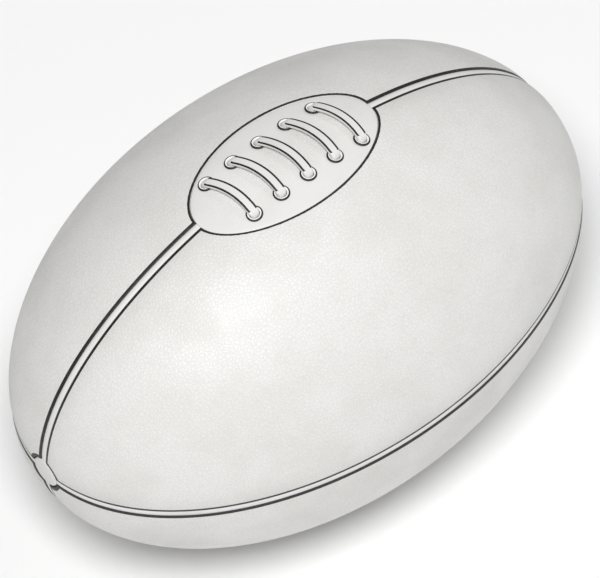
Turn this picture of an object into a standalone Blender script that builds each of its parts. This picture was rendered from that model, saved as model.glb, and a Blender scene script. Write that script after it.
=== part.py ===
"""A laced rugby ball of four leather panels, lying on its side with the lacing on top.

The long axis is X, the lacing faces +Z and the ball rests on Z = 0. All sizes are in metres.
"""
import math

import bmesh
import bpy
from mathutils import Vector

# The whole ball, tip to tip and across its middle, and how far its weight flattens it where it lies
LENGTH = 0.288
GIRTH_DIAMETER = 0.190
REST_FLAT_DEPTH = 0.0006

# The wall, from the outside in
PANEL_LEATHER = 0.0018
LINING_CLOTH = 0.0008
BLADDER_WALL = 0.0008
CLEARANCE = 0.0003
BLADDER_SLACK = 0.0006
BLADDER_TIP_RADIUS = 0.006

# The seams: a welt stands between the turned-in edges of two panels, and a thread sews the three
WELT_WIDTH = 0.0032
WELT_SINK = 0.0008
EDGE_ROUNDING = 0.0010
FLANGE_DEPTH = 0.0070
FLANGE_STUB = 0.0004
FLANGE_TAPER = 0.020
TAPER_MARGIN = 0.002
THREAD_DIAMETER = 0.0008
STITCH_DEPTH = 0.0042
STITCH_LENGTH = 0.020
GROOVE_SLOPE = 0.007

# The ends: the panels are cut square and a button closes the opening they leave
END_OPENING_RADIUS = 0.0080
BUTTON_FLANGE_RADIUS = 0.0135
BUTTON_FLANGE = 0.0010

# The lacing: an oval opening, the patch in it, the slit backing below and the tongue under the lace
OPENING_LENGTH = 0.0965
OPENING_WIDTH = 0.0545
PATCH_SINK = 0.0009
PATCH_LEATHER = 0.0018
BACKING_LEATHER = 0.0014
BACKING_MARGIN = 0.008
SLIT_LENGTH = 0.066
SLIT_WIDTH = 0.003
TONGUE_LEATHER = 0.0014
TONGUE_MARGIN = 0.005
DIMPLE_SLOPE = 1.0

# The lace and its eyelets
LACE_ROWS = 5
LACE_END_MARGIN = 0.0182
LACE_SIDE_MARGIN = 0.0134
LACE_SLANT = 0.0045
LACE_WIDTH = 0.0044
LACE_THICKNESS = 0.0016
LACE_BEND = 0.0007
LACE_ARCH = 0.0012
LACE_BOW = 0.0020
LACE_TAIL = 0.6
KNOT_WIDENING = 1.5
EYELET_WALL = 0.00035
EYELET_RIM_DIAMETER = 0.0076
EYELET_RIM_HEIGHT = 0.0006

# The valve, in the upper back panel
VALVE_ANGLE = math.radians(-68)
VALVE_SINK = 0.0008
VALVE_STEM_RADIUS = 0.0052
VALVE_FLANGE_RADIUS = 0.012
VALVE_FLANGE = 0.0014
VALVE_NOZZLE_RADIUS = 0.0040
VALVE_DEPTH = 0.0150
PLUG_HEAD_RADIUS = 0.0037
PLUG_HEAD = 0.0012
PLUG_SHANK_RADIUS = 0.0021
PLUG_LENGTH = 0.0115
PLUG_GRIP_RADIUS = 0.0016
PLUG_GRIP_DEPTH = 0.0006

# How far a cut reaches above the skin and below it
CUT_ABOVE = 0.006
CUT_BELOW = 0.014

# How finely the curves are divided
ALONG_STEPS = 14
ACROSS_STEPS = 8
OVAL_STEPS = 28
TURNED_STEPS = 18
EYELET_STEPS = 12

# Sizes that follow from the ones above, as depths below the outer skin
HALF_LENGTH = LENGTH / 2
RADIUS = GIRTH_DIAMETER / 2
QUARTER = math.pi / 2
FLANGE_FACE = WELT_WIDTH / 2 + CLEARANCE
FLANGE_BACK = FLANGE_FACE + PANEL_LEATHER
LINING_TOP = PANEL_LEATHER + CLEARANCE
LINING_BOTTOM = LINING_TOP + LINING_CLOTH
BUTTON_TOP = PANEL_LEATHER + FLANGE_STUB + CLEARANCE
BUTTON_BOTTOM = BUTTON_TOP + BUTTON_FLANGE
BLADDER_TOP = max(LINING_BOTTOM, BUTTON_BOTTOM) + BLADDER_SLACK
BLADDER_INSIDE = BLADDER_TOP + BLADDER_WALL
PATCH_BOTTOM = PATCH_SINK + PATCH_LEATHER
BACKING_TOP = max(PATCH_BOTTOM, PANEL_LEATHER) + 2 * CLEARANCE
BACKING_BOTTOM = BACKING_TOP + BACKING_LEATHER
LACE_PITCH = (OPENING_LENGTH - 2 * LACE_END_MARGIN) / (LACE_ROWS - 1)
LACE_SPAN = OPENING_WIDTH - 2 * LACE_SIDE_MARGIN
EYELET_BORE = math.hypot(LACE_WIDTH, LACE_THICKNESS) / 2 + CLEARANCE
EYELET_BARREL = EYELET_BORE + EYELET_WALL
EYELET_RIM_TOP = PATCH_SINK - CLEARANCE - EYELET_RIM_HEIGHT
LACE_TURN = LACE_THICKNESS / 2 + LACE_BEND
LACE_OVER = EYELET_RIM_TOP - CLEARANCE - LACE_THICKNESS / 2
LACE_UNDER = BACKING_BOTTOM + 2 * CLEARANCE + LACE_THICKNESS / 2
TONGUE_TOP = LACE_UNDER + LACE_THICKNESS / 2 + 2 * CLEARANCE
TONGUE_BOTTOM = TONGUE_TOP + TONGUE_LEATHER
TONGUE_HALF_LENGTH = (LACE_PITCH * (LACE_ROWS - 1 + 2 * LACE_TAIL) + LACE_WIDTH) / 2 + TONGUE_MARGIN
TONGUE_HALF_WIDTH = (LACE_SPAN + LACE_WIDTH) / 2 + TONGUE_MARGIN
THREAD_OFFSET = FLANGE_BACK + CLEARANCE + THREAD_DIAMETER / 2
GROOVE_FLAT = THREAD_OFFSET + THREAD_DIAMETER / 2 + 2 * CLEARANCE
TAPER_START = BUTTON_FLANGE_RADIUS + TAPER_MARGIN

for existing in list(bpy.data.objects):
    bpy.data.objects.remove(existing, do_unlink=True)

ball = bpy.data.objects.new("ball", None)
ball.location = (0, 0, RADIUS - REST_FLAT_DEPTH)
bpy.context.collection.objects.link(ball)


# Materials, meshes and cuts

def material(name, color, roughness, metallic=0.0):
    made = bpy.data.materials.new(name)
    made.use_nodes = True
    shader = made.node_tree.nodes["Principled BSDF"]
    shader.inputs["Base Color"].default_value = (*color, 1.0)
    shader.inputs["Roughness"].default_value = roughness
    shader.inputs["Metallic"].default_value = metallic
    return made


def placed(name, mesh, color, cutter=False):
    """Put a mesh into the scene as a piece of the ball, or as a cutter that isn't shown."""
    piece = bpy.data.objects.new(name, mesh)
    bpy.context.collection.objects.link(piece)
    piece.parent = ball
    if cutter:
        piece.hide_render = True
        piece.display_type = 'WIRE'
        return piece
    mesh.materials.append(color)
    mesh.shade_smooth()
    mesh.set_sharp_from_angle(angle=math.radians(40))
    return piece


def lofted(name, rings, color, cutter=False):
    """A solid through rings of points, capped at both ends."""
    bm = bmesh.new()
    loops = [[bm.verts.new(point) for point in ring] for ring in rings]
    caps = [bm.faces.new(loops[0]), bm.faces.new(loops[-1])]
    bmesh.ops.triangulate(bm, faces=caps, ngon_method='BEAUTY')
    for first, second in zip(loops, loops[1:]):
        for i in range(len(first)):
            j = (i + 1) % len(first)
            bm.faces.new((first[i], first[j], second[j], second[i]))
    bmesh.ops.recalc_face_normals(bm, faces=bm.faces)
    mesh = bpy.data.meshes.new(name)
    bm.to_mesh(mesh)
    bm.free()
    return placed(name, mesh, color, cutter)


def turned(name, profile, steps, color, cutter=False):
    """A solid of revolution about its own Z axis, from a closed profile of (radius, height) points."""
    bm = bmesh.new()
    corners = [bm.verts.new((radius, 0, height)) for radius, height in profile]
    edges = []
    for i, corner in enumerate(corners):
        following = corners[(i + 1) % len(corners)]
        if corner.co.x > 0 or following.co.x > 0:
            edges.append(bm.edges.new((corner, following)))
    bmesh.ops.spin(bm, geom=corners + edges, axis=(0, 0, 1), cent=(0, 0, 0), angle=2 * math.pi,
                   steps=steps, use_merge=True)
    bmesh.ops.remove_doubles(bm, verts=bm.verts, dist=0.00001)
    bmesh.ops.recalc_face_normals(bm, faces=bm.faces)
    mesh = bpy.data.meshes.new(name)
    bm.to_mesh(mesh)
    bm.free()
    return placed(name, mesh, color, cutter)


def stand(piece, point, outward):
    """Put a turned piece at a point with its own Z axis pointing outward."""
    piece.location = point
    piece.rotation_euler = outward.to_track_quat('Z', 'Y').to_euler()


def cut(piece, cutter):
    boolean = piece.modifiers.new("cut_" + cutter.name, 'BOOLEAN')
    boolean.operation = 'DIFFERENCE'
    boolean.solver = 'EXACT'
    boolean.object = cutter


def smooth(share):
    share = min(max(share, 0.0), 1.0)
    return share * share * (3 - 2 * share)


def blend(first, second, share):
    return first + (second - first) * share


# The ball's form: an angle along it (0 at the left tip), an angle around it (0 at the top seam,
# positive towards the front) and a depth below the skin

def skin_point(along, around, depth=0.0):
    radius = (RADIUS - depth) * math.sin(along)
    x = -(HALF_LENGTH - depth) * math.cos(along)
    return Vector((x, -radius * math.sin(around), radius * math.cos(around)))


def along_at(x):
    return math.acos(-x / HALF_LENGTH)


def along_at_radius(radius):
    return math.asin(radius / RADIUS)


def seam_angle(along, offset, depth=0.0):
    """The angle from a seam's plane at which a point lies at a given distance from that plane."""
    return math.asin(offset / ((RADIUS - depth) * math.sin(along)))


def steps_between(first, last, count):
    return [blend(first, last, i / count) for i in range(count + 1)]


def flange_depth(along, taper=FLANGE_TAPER):
    """The turned-in edges are pared down towards the tips, where the end buttons lie under them."""
    radius = RADIUS * math.sin(along)
    share = smooth((radius - TAPER_START) / taper)
    return blend(PANEL_LEATHER + FLANGE_STUB, FLANGE_DEPTH, share)


END_ALONG = along_at_radius(END_OPENING_RADIUS)
TAPER_ALONG = along_at_radius(TAPER_START)
PANEL_STATIONS = [END_ALONG] + steps_between(TAPER_ALONG, math.pi - TAPER_ALONG, ALONG_STEPS)
PANEL_STATIONS.append(math.pi - END_ALONG)

# Leather panels, each a quarter of the ball with both long edges turned in

panel_leather = material("panel_leather", (0.86, 0.85, 0.82), 0.5)


def panel_edge(along):
    """Offset from the seam's plane and depth of each point of an edge, from the skin to the inside."""
    points = []
    for turn in (0.0, 0.5, 1.0):
        angle = turn * QUARTER
        offset = FLANGE_FACE + EDGE_ROUNDING * (1 - math.sin(angle))
        points.append((offset, EDGE_ROUNDING * (1 - math.cos(angle))))
    points.append((FLANGE_FACE, flange_depth(along)))
    points.append((FLANGE_BACK, flange_depth(along)))
    points.append((FLANGE_BACK, PANEL_LEATHER))
    return points


def panel_ring(along, start):
    edge = [(seam_angle(along, offset, depth), depth) for offset, depth in panel_edge(along)]
    near = [(start + angle, depth) for angle, depth in edge]
    far = [(start + QUARTER - angle, depth) for angle, depth in edge]
    outside = steps_between(near[0][0], far[0][0], ACROSS_STEPS)[1:-1]
    inside = steps_between(far[-1][0], near[-1][0], ACROSS_STEPS)[1:-1]
    ring = near[::-1]
    ring += [(angle, 0.0) for angle in outside]
    ring += far
    ring += [(angle, PANEL_LEATHER) for angle in inside]
    return [skin_point(along, angle, depth) for angle, depth in ring]


panels = {}
for number, side in enumerate(("upper_front", "lower_front", "lower_back", "upper_back")):
    rings = [panel_ring(along, number * QUARTER) for along in PANEL_STATIONS]
    panels[side] = lofted(side + "_panel", rings, panel_leather)

# Cloth linings behind the panels, between the turned-in edges and clear of the end buttons

lining_cloth = material("lining_cloth", (0.72, 0.64, 0.47), 0.9)
LINING_OFFSET = FLANGE_BACK + CLEARANCE
LINING_END = along_at_radius(BUTTON_FLANGE_RADIUS + CLEARANCE * 2)
LINING_STATIONS = [LINING_END]
LINING_STATIONS += PANEL_STATIONS[2:-2]
LINING_STATIONS += [math.pi - LINING_END]


def lining_ring(along, start):
    ring = []
    for depth in (LINING_TOP, LINING_BOTTOM):
        edge = seam_angle(along, LINING_OFFSET, depth)
        angles = steps_between(start + edge, start + QUARTER - edge, ACROSS_STEPS)
        points = [skin_point(along, angle, depth) for angle in angles]
        ring = ring + points if depth == LINING_TOP else ring + points[::-1]
    return ring


linings = {}
for number, side in enumerate(("upper_front", "lower_front", "lower_back", "upper_back")):
    rings = [lining_ring(along, number * QUARTER) for along in LINING_STATIONS]
    linings[side] = lofted(side + "_lining", rings, lining_cloth)

# Welts: folded leather strips between the turned-in edges, rounded where they show

welt_leather = material("welt_leather", (0.86, 0.85, 0.82), 0.55)
OVAL_END = OPENING_LENGTH / 2 + CLEARANCE


def welt_ring(along, seam):
    half = WELT_WIDTH / 2
    crown = WELT_SINK + half * 0.5
    foot = flange_depth(along)
    side = [(half, foot), (half, crown), (half * 0.7, WELT_SINK + half * 0.14)]
    profile = side + [(0.0, WELT_SINK)] + [(-offset, depth) for offset, depth in side[::-1]] + [(0.0, foot)]
    return [skin_point(along, seam + seam_angle(along, offset, depth), depth) for offset, depth in profile]


WELT_RUNS = {
    "top_left": (0, [END_ALONG] + steps_between(TAPER_ALONG, along_at(-OVAL_END), ALONG_STEPS // 3)),
    "top_right": (0, steps_between(along_at(OVAL_END), math.pi - TAPER_ALONG, ALONG_STEPS // 3)
                  + [math.pi - END_ALONG]),
    "front": (1, PANEL_STATIONS),
    "bottom": (2, PANEL_STATIONS),
    "back": (3, PANEL_STATIONS),
}
for run, (number, stations) in WELT_RUNS.items():
    lofted(run + "_welt", [welt_ring(along, number * QUARTER) for along in stations], welt_leather)

# Seam threads: each runs along one side of the turned-in edges, crosses under them and runs back along the other

thread_cotton = material("thread_cotton", (0.55, 0.45, 0.28), 0.8)


def thread_route(seam, first, last):
    """The points of a thread with both ends at its first station, crossing under the edges at its last."""
    length = abs(skin_point(first, 0).x - skin_point(last, 0).x)
    stations = steps_between(first, last, max(4, round(length / STITCH_LENGTH)))
    depths = [STITCH_DEPTH] * (len(stations) - 1)
    depths.append(flange_depth(last) + CLEARANCE + THREAD_DIAMETER)
    route = []
    for side in (1, -1):
        points = []
        for along, depth in zip(stations, depths):
            points.append(skin_point(along, seam + side * seam_angle(along, THREAD_OFFSET, depth), depth))
        route += points[::side]
    return route


def thread_rings(route):
    half = THREAD_DIAMETER / 2
    rings = []
    for i, point in enumerate(route):
        heading = (route[min(i + 1, len(route) - 1)] - route[max(i - 1, 0)]).normalized()
        across = heading.cross(Vector((0, point.y, point.z))).normalized() * half
        over = across.cross(heading)
        rings.append([point + across + over, point + over - across, point - across - over, point + across - over])
    return rings


THREAD_END = along_at_radius(BUTTON_FLANGE_RADIUS + FLANGE_TAPER)
LACING_END = OVAL_END + BACKING_MARGIN + THREAD_DIAMETER * 3
THREAD_RUNS = {
    "top_left": (0, along_at(-LACING_END), THREAD_END),
    "top_right": (0, along_at(LACING_END), math.pi - THREAD_END),
    "front": (1, THREAD_END, math.pi - THREAD_END),
    "bottom": (2, THREAD_END, math.pi - THREAD_END),
    "back": (3, THREAD_END, math.pi - THREAD_END),
}
for run, (number, first, last) in THREAD_RUNS.items():
    lofted(run + "_thread", thread_rings(thread_route(number * QUARTER, first, last)), thread_cotton)

# End buttons: a flat disc in the opening that the square-cut ends leave, with a flange under the panels

button_leather = material("button_leather", (0.84, 0.83, 0.80), 0.55)


def tip_height(radius, depth):
    return (HALF_LENGTH - depth) * math.sqrt(1 - (radius / (RADIUS - depth)) ** 2)


def button_profile():
    face = END_OPENING_RADIUS - 2 * CLEARANCE
    profile = [(0.0, tip_height(END_OPENING_RADIUS, 0.0)), (face, tip_height(END_OPENING_RADIUS, 0.0))]
    profile += [(radius, tip_height(radius, BUTTON_TOP)) for radius in (face, BUTTON_FLANGE_RADIUS)]
    profile += [(radius, tip_height(radius, BUTTON_BOTTOM)) for radius in (BUTTON_FLANGE_RADIUS, face, 0.0)]
    return profile


for end, outward in (("left", Vector((-1, 0, 0))), ("right", Vector((1, 0, 0)))):
    button = turned(end + "_end_button", button_profile(), TURNED_STEPS, button_leather)
    stand(button, Vector((0, 0, 0)), outward)

# Bladder: a rubber bag that follows the inside, pressed in by the seams and by the tongue under the lacing

bladder_rubber = material("bladder_rubber", (0.30, 0.07, 0.05), 0.6)
BLADDER_END = along_at_radius(BLADDER_TIP_RADIUS)


def bladder_depth(along, around):
    from_seam = abs(around - QUARTER * round(around / QUARTER))
    offset = RADIUS * math.sin(along) * math.sin(from_seam)
    groove = flange_depth(along, FLANGE_TAPER / 2) + 3 * CLEARANCE + THREAD_DIAMETER * 1.5
    depth = blend(max(groove, BLADDER_TOP), BLADDER_TOP, smooth((offset - GROOVE_FLAT) / GROOVE_SLOPE))
    turn = around if around < math.pi else around - 2 * math.pi
    x = -HALF_LENGTH * math.cos(along)
    reach = math.hypot(x / (TONGUE_HALF_LENGTH * 1.12), turn * RADIUS / (TONGUE_HALF_WIDTH * 1.18))
    dimple = 1 - smooth((reach - 1) / DIMPLE_SLOPE)
    return max(depth, blend(BLADDER_TOP, TONGUE_BOTTOM + BLADDER_SLACK, dimple))


def bladder_angles(along):
    """Angles across one quarter: over the seam's groove, up its slope and across the free part."""
    radius = RADIUS * math.sin(along)
    flat = min(math.asin(min(GROOVE_FLAT / radius, 1.0)), math.radians(16))
    slope = min(math.asin(min((GROOVE_FLAT + GROOVE_SLOPE) / radius, 1.0)), math.radians(28))
    half = steps_between(slope, QUARTER / 2, 3)
    return [0.0, flat] + half + [QUARTER - angle for angle in half[-2::-1]] + [QUARTER - flat]


rings = []
for along in steps_between(BLADDER_END, math.pi - BLADDER_END, ALONG_STEPS):
    angles = [quarter * QUARTER + angle for quarter in range(4) for angle in bladder_angles(along)]
    rings.append([skin_point(along, angle, bladder_depth(along, angle)) for angle in angles])
bladder = lofted("bladder", rings, bladder_rubber)
wall = bladder.modifiers.new("wall", 'SOLIDIFY')
wall.thickness = BLADDER_WALL
wall.offset = -1

# Lacing: oval pieces that follow the ball, measured along it and across it from the top seam

patch_leather = material("patch_leather", (0.84, 0.83, 0.80), 0.55)
inner_leather = material("inner_leather", (0.50, 0.33, 0.19), 0.7)


def lacing_point(x, across, depth):
    return skin_point(along_at(x), across / RADIUS, depth)


def oval(name, half_length, half_width, top, bottom, color=None, cutter=False):
    rings = []
    for depth, shares in ((bottom, (0.07, 0.36, 0.68, 1.0)), (top, (1.0, 0.68, 0.36, 0.07))):
        for share in shares:
            ring = []
            for step in range(OVAL_STEPS):
                turn = 2 * math.pi * step / OVAL_STEPS
                x = share * half_length * math.cos(turn)
                ring.append(lacing_point(x, share * half_width * math.sin(turn), depth))
            rings.append(ring)
    return lofted(name, rings, color, cutter=cutter)


HALF_OPENING = (OPENING_LENGTH / 2, OPENING_WIDTH / 2)
HALF_BACKING = tuple(half + BACKING_MARGIN for half in HALF_OPENING)
patch = oval("lacing_patch", HALF_OPENING[0] - CLEARANCE, HALF_OPENING[1] - CLEARANCE,
             PATCH_SINK, PATCH_BOTTOM, patch_leather)
backing = oval("slit_backing", *HALF_BACKING, BACKING_TOP, BACKING_BOTTOM, inner_leather)
tongue = oval("tongue", TONGUE_HALF_LENGTH, TONGUE_HALF_WIDTH, TONGUE_TOP, TONGUE_BOTTOM, inner_leather)

opening = oval("opening_cutter", *HALF_OPENING, -CUT_ABOVE, CUT_BELOW, cutter=True)
lining_opening = oval("lining_opening_cutter", HALF_BACKING[0] + CLEARANCE * 2,
                      HALF_BACKING[1] + CLEARANCE * 2, -CUT_ABOVE, CUT_BELOW, cutter=True)
flange_opening = oval("flange_opening_cutter", HALF_BACKING[0] + CLEARANCE * 2,
                      HALF_BACKING[1] + CLEARANCE * 2, BACKING_TOP - CLEARANCE, CUT_BELOW, cutter=True)
slit = oval("slit_cutter", SLIT_LENGTH / 2, SLIT_WIDTH / 2, -CUT_ABOVE, CUT_BELOW, cutter=True)
for side in ("upper_front", "upper_back"):
    cut(panels[side], opening)
    cut(panels[side], flange_opening)
    cut(linings[side], lining_opening)
for run in ("top_left", "top_right"):
    cut(bpy.data.objects[run + "_welt"], flange_opening)
cut(backing, slit)

# Eyelets: rimmed tubes through the patch and the backing, at both ends of each bar of the lace

eyelet_enamel = material("eyelet_enamel", (0.86, 0.86, 0.84), 0.35, 0.3)
EYELET_PROFILE = [
    (EYELET_BORE, PATCH_SINK - EYELET_RIM_TOP),
    (EYELET_RIM_DIAMETER / 2 - EYELET_RIM_HEIGHT / 2, PATCH_SINK - EYELET_RIM_TOP),
    (EYELET_RIM_DIAMETER / 2, CLEARANCE + EYELET_RIM_HEIGHT / 2),
    (EYELET_RIM_DIAMETER / 2, CLEARANCE),
    (EYELET_BARREL, CLEARANCE),
    (EYELET_BARREL, PATCH_SINK - BACKING_BOTTOM),
    (EYELET_BORE, PATCH_SINK - BACKING_BOTTOM),
]
PUNCH_RADIUS = EYELET_BARREL + CLEARANCE
PUNCH_PROFILE = [(0.0, CUT_ABOVE), (PUNCH_RADIUS, CUT_ABOVE), (PUNCH_RADIUS, -CUT_BELOW), (0.0, -CUT_BELOW)]
eyelet_places = []
for row in range(LACE_ROWS):
    middle = (row - (LACE_ROWS - 1) / 2) * LACE_PITCH
    for side in (-1, 1):
        eyelet_places.append((middle + side * LACE_SLANT / 2, side * LACE_SPAN / 2))
for number, (x, across) in enumerate(eyelet_places, start=1):
    seat = lacing_point(x, across, PATCH_SINK)
    outward = (lacing_point(x, across, 0.0) - lacing_point(x, across, 0.01)).normalized()
    stand(turned(f"eyelet_{number}", EYELET_PROFILE, EYELET_STEPS, eyelet_enamel), seat, outward)
    punch = turned(f"eyelet_punch_{number}", PUNCH_PROFILE, EYELET_STEPS, None, cutter=True)
    stand(punch, seat, outward)
    cut(patch, punch)
    cut(backing, punch)

# Lace: one flat thong, over the patch from the back eyelet to the front one and under it to the next row

lace_leather = material("lace_leather", (0.88, 0.87, 0.84), 0.55)


def lace_run(start, end, level, over, turns):
    """Points of one run between two eyelets as (x, across, depth, heading), turning out of and into them."""
    span = Vector((end[0] - start[0], end[1] - start[1]))
    step = span.normalized()
    heading = math.atan2(step.y, step.x)
    side = -1 if over else 1
    points = []
    for angle in (0.0, 45.0, 90.0):
        out = LACE_TURN * (1 - math.cos(math.radians(angle)))
        rise = side * LACE_TURN * (1 - math.sin(math.radians(angle)))
        points.append((out, level - rise))
    run = [(out, depth) for out, depth in points] if turns[0] else [(0.0, level)]
    shares = (0.3, 0.5, 0.7) if over else (0.33, 0.67)
    middle = [(span.length * share, level) for share in shares]
    tail = [(span.length - out, depth) for out, depth in points[::-1]] if turns[1] else [(span.length, level)]
    route = []
    for out, depth in run + middle + tail:
        share = out / span.length
        hump = max(0.0, 1 - (2 * share - 1) ** 2) if over else 0.0
        x = start[0] + step.x * out + LACE_BOW * hump
        route.append((x, start[1] + step.y * out, depth - LACE_ARCH * hump, heading))
    return route


def lace_route():
    backs = eyelet_places[0::2]
    fronts = eyelet_places[1::2]
    tail = Vector((LACE_PITCH - LACE_SLANT, -LACE_SPAN)) * LACE_TAIL
    first_end = (backs[0][0] - tail.x, backs[0][1] - tail.y)
    last_end = (fronts[-1][0] + tail.x, fronts[-1][1] + tail.y)
    route = lace_run(first_end, backs[0], LACE_UNDER, False, (False, True))
    for row in range(LACE_ROWS):
        route += lace_run(backs[row], fronts[row], LACE_OVER, True, (True, True))
        if row + 1 < LACE_ROWS:
            route += lace_run(fronts[row], backs[row + 1], LACE_UNDER, False, (True, True))
    return route + lace_run(fronts[-1], last_end, LACE_UNDER, False, (True, False))


def lace_rings():
    route = lace_route()
    points = [lacing_point(x, across, depth) for x, across, depth, heading in route]
    half_width = LACE_WIDTH / 2
    half = LACE_THICKNESS / 2
    corner = half * 0.5
    section = [(half_width, half - corner), (half_width - corner, half), (corner - half_width, half),
               (-half_width, half - corner), (-half_width, corner - half), (corner - half_width, -half),
               (half_width - corner, -half), (half_width, corner - half)]
    rings = []
    for i, (x, across, depth, heading) in enumerate(route):
        before = points[max(i - 1, 0)]
        after = points[min(i + 1, len(points) - 1)]
        forward = (after - before).normalized()
        side = Vector((math.sin(heading), -math.cos(heading)))
        if side.x < 0:
            side = -side
        nudge = 0.0001
        wide = lacing_point(x + side.x * nudge, across + side.y * nudge, depth) - points[i]
        wide = (wide - forward * wide.dot(forward)).normalized()
        thick = forward.cross(wide)
        knot = KNOT_WIDENING if i in (1, len(route) - 2) else 1.0
        rings.append([points[i] + wide * (a * knot) + thick * b for a, b in section])
    return rings


lofted("lace", lace_rings(), lace_leather)

# Valve: a moulded rubber housing through the wall, with a plug that pulls out along its axis

valve_rubber = material("valve_rubber", (0.05, 0.05, 0.05), 0.5)
valve_seat = skin_point(QUARTER, VALVE_ANGLE)
valve_outward = valve_seat.normalized()
SEAT_HEIGHT = -(VALVE_SINK + PLUG_HEAD + CLEARANCE)
FLANGE_START = -(BLADDER_INSIDE + 2 * BLADDER_SLACK)
FLANGE_DROP = VALVE_FLANGE_RADIUS ** 2 / (2 * RADIUS) + CLEARANCE
HOUSING_PROFILE = [
    (PLUG_HEAD_RADIUS + CLEARANCE, -VALVE_SINK),
    (VALVE_STEM_RADIUS, -VALVE_SINK),
    (VALVE_STEM_RADIUS, FLANGE_START),
    (VALVE_FLANGE_RADIUS, FLANGE_START - FLANGE_DROP),
    (VALVE_FLANGE_RADIUS, FLANGE_START - FLANGE_DROP - VALVE_FLANGE),
    (VALVE_NOZZLE_RADIUS, FLANGE_START - FLANGE_DROP - VALVE_FLANGE),
    (VALVE_NOZZLE_RADIUS, -VALVE_DEPTH),
    (PLUG_SHANK_RADIUS + CLEARANCE, -VALVE_DEPTH),
    (PLUG_SHANK_RADIUS + CLEARANCE, SEAT_HEIGHT),
    (PLUG_HEAD_RADIUS + CLEARANCE, SEAT_HEIGHT),
]
HEAD_BOTTOM = SEAT_HEIGHT + CLEARANCE
PLUG_PROFILE = [
    (0.0, HEAD_BOTTOM + PLUG_HEAD - PLUG_GRIP_DEPTH),
    (PLUG_GRIP_RADIUS, HEAD_BOTTOM + PLUG_HEAD - PLUG_GRIP_DEPTH),
    (PLUG_GRIP_RADIUS, HEAD_BOTTOM + PLUG_HEAD),
    (PLUG_HEAD_RADIUS, HEAD_BOTTOM + PLUG_HEAD),
    (PLUG_HEAD_RADIUS, HEAD_BOTTOM),
    (PLUG_SHANK_RADIUS, HEAD_BOTTOM),
    (PLUG_SHANK_RADIUS, HEAD_BOTTOM - PLUG_LENGTH * 0.85),
    (PLUG_SHANK_RADIUS * 0.6, HEAD_BOTTOM - PLUG_LENGTH),
    (0.0, HEAD_BOTTOM - PLUG_LENGTH),
]
stand(turned("valve_housing", HOUSING_PROFILE, TURNED_STEPS, valve_rubber), valve_seat, valve_outward)
stand(turned("valve_plug", PLUG_PROFILE, TURNED_STEPS, valve_rubber), valve_seat, valve_outward)
STEM_HOLE = VALVE_STEM_RADIUS + CLEARANCE
HOLE_PROFILE = [(0.0, CUT_ABOVE), (STEM_HOLE, CUT_ABOVE), (STEM_HOLE, -CUT_BELOW), (0.0, -CUT_BELOW)]
valve_hole = turned("valve_hole_cutter", HOLE_PROFILE, TURNED_STEPS, None, cutter=True)
stand(valve_hole, valve_seat, valve_outward)
for walled in (panels["upper_back"], linings["upper_back"], bladder):
    cut(walled, valve_hole)

# The flat that the ball lies on

FLOOR_TOP = REST_FLAT_DEPTH - RADIUS
FLOOR_PROFILE = [(0.0, FLOOR_TOP), (RADIUS, FLOOR_TOP), (RADIUS, -2 * RADIUS), (0.0, -2 * RADIUS)]
floor_cutter = turned("floor_cutter", FLOOR_PROFILE, TURNED_STEPS, None, cutter=True)
for side in ("lower_front", "lower_back"):
    cut(panels[side], floor_cutter)
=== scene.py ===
import math

import bpy
from mathutils import Matrix, Vector


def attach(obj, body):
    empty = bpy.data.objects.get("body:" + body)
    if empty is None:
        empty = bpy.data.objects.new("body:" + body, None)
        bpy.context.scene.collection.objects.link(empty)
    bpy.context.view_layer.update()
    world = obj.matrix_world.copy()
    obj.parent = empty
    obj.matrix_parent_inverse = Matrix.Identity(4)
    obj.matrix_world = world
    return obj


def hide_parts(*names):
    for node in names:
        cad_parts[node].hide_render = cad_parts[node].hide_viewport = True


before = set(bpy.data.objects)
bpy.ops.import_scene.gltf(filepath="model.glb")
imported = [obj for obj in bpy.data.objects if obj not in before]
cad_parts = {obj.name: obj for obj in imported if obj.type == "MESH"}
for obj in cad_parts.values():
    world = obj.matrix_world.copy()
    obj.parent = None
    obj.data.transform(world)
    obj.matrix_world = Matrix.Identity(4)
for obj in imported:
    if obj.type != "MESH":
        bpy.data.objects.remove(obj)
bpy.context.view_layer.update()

# Bladder: the rubber bag that holds the air, dipped in one piece and pushed in through the slit under
# the lacing. It can't be seen in the finished ball, so the solid stays and gets a satin rubber skin
# with the faint mottling of old latex.

BLADDER_RED = (0.30, 0.07, 0.05)
BLADDER_BLOOM = (0.38, 0.13, 0.10)


def new_finish(name, color, roughness):
    """A material with one shader, and that shader."""
    finish = bpy.data.materials.new(name)
    finish.use_nodes = True
    shader = finish.node_tree.nodes["Principled BSDF"]
    shader.inputs["Base Color"].default_value = (*color, 1.0)
    shader.inputs["Roughness"].default_value = roughness
    return finish, shader


def add_node(finish, kind, settings, values):
    """A node with its settings, and its inputs linked to other nodes' outputs or set to plain values."""
    node = finish.node_tree.nodes.new(kind)
    for name, value in settings.items():
        setattr(node, name, value)
    for name, value in values.items():
        if isinstance(value, bpy.types.NodeSocket):
            finish.node_tree.links.new(value, node.inputs[name])
        else:
            node.inputs[name].default_value = value
    return node


def link(finish, output, shader, name):
    finish.node_tree.links.new(output, shader.inputs[name])


def place_on(finish):
    """The place on the piece, which a pattern is worked out from."""
    return add_node(finish, "ShaderNodeTexCoord", {}, {}).outputs["Object"]


def noise_on(finish, scale, detail):
    values = {"Vector": place_on(finish), "Scale": scale, "Detail": detail}
    return add_node(finish, "ShaderNodeTexNoise", {}, values).outputs["Fac"]


def color_between(finish, share, first, second):
    """Two colours mixed by a share that runs from 0 to 1. The first may come from another node."""
    if not isinstance(first, bpy.types.NodeSocket):
        first = (*first, 1.0)
    values = {"Factor": share, "A": first, "B": (*second, 1.0)}
    return add_node(finish, "ShaderNodeMix", {"data_type": 'RGBA'}, values).outputs["Result"]


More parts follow.
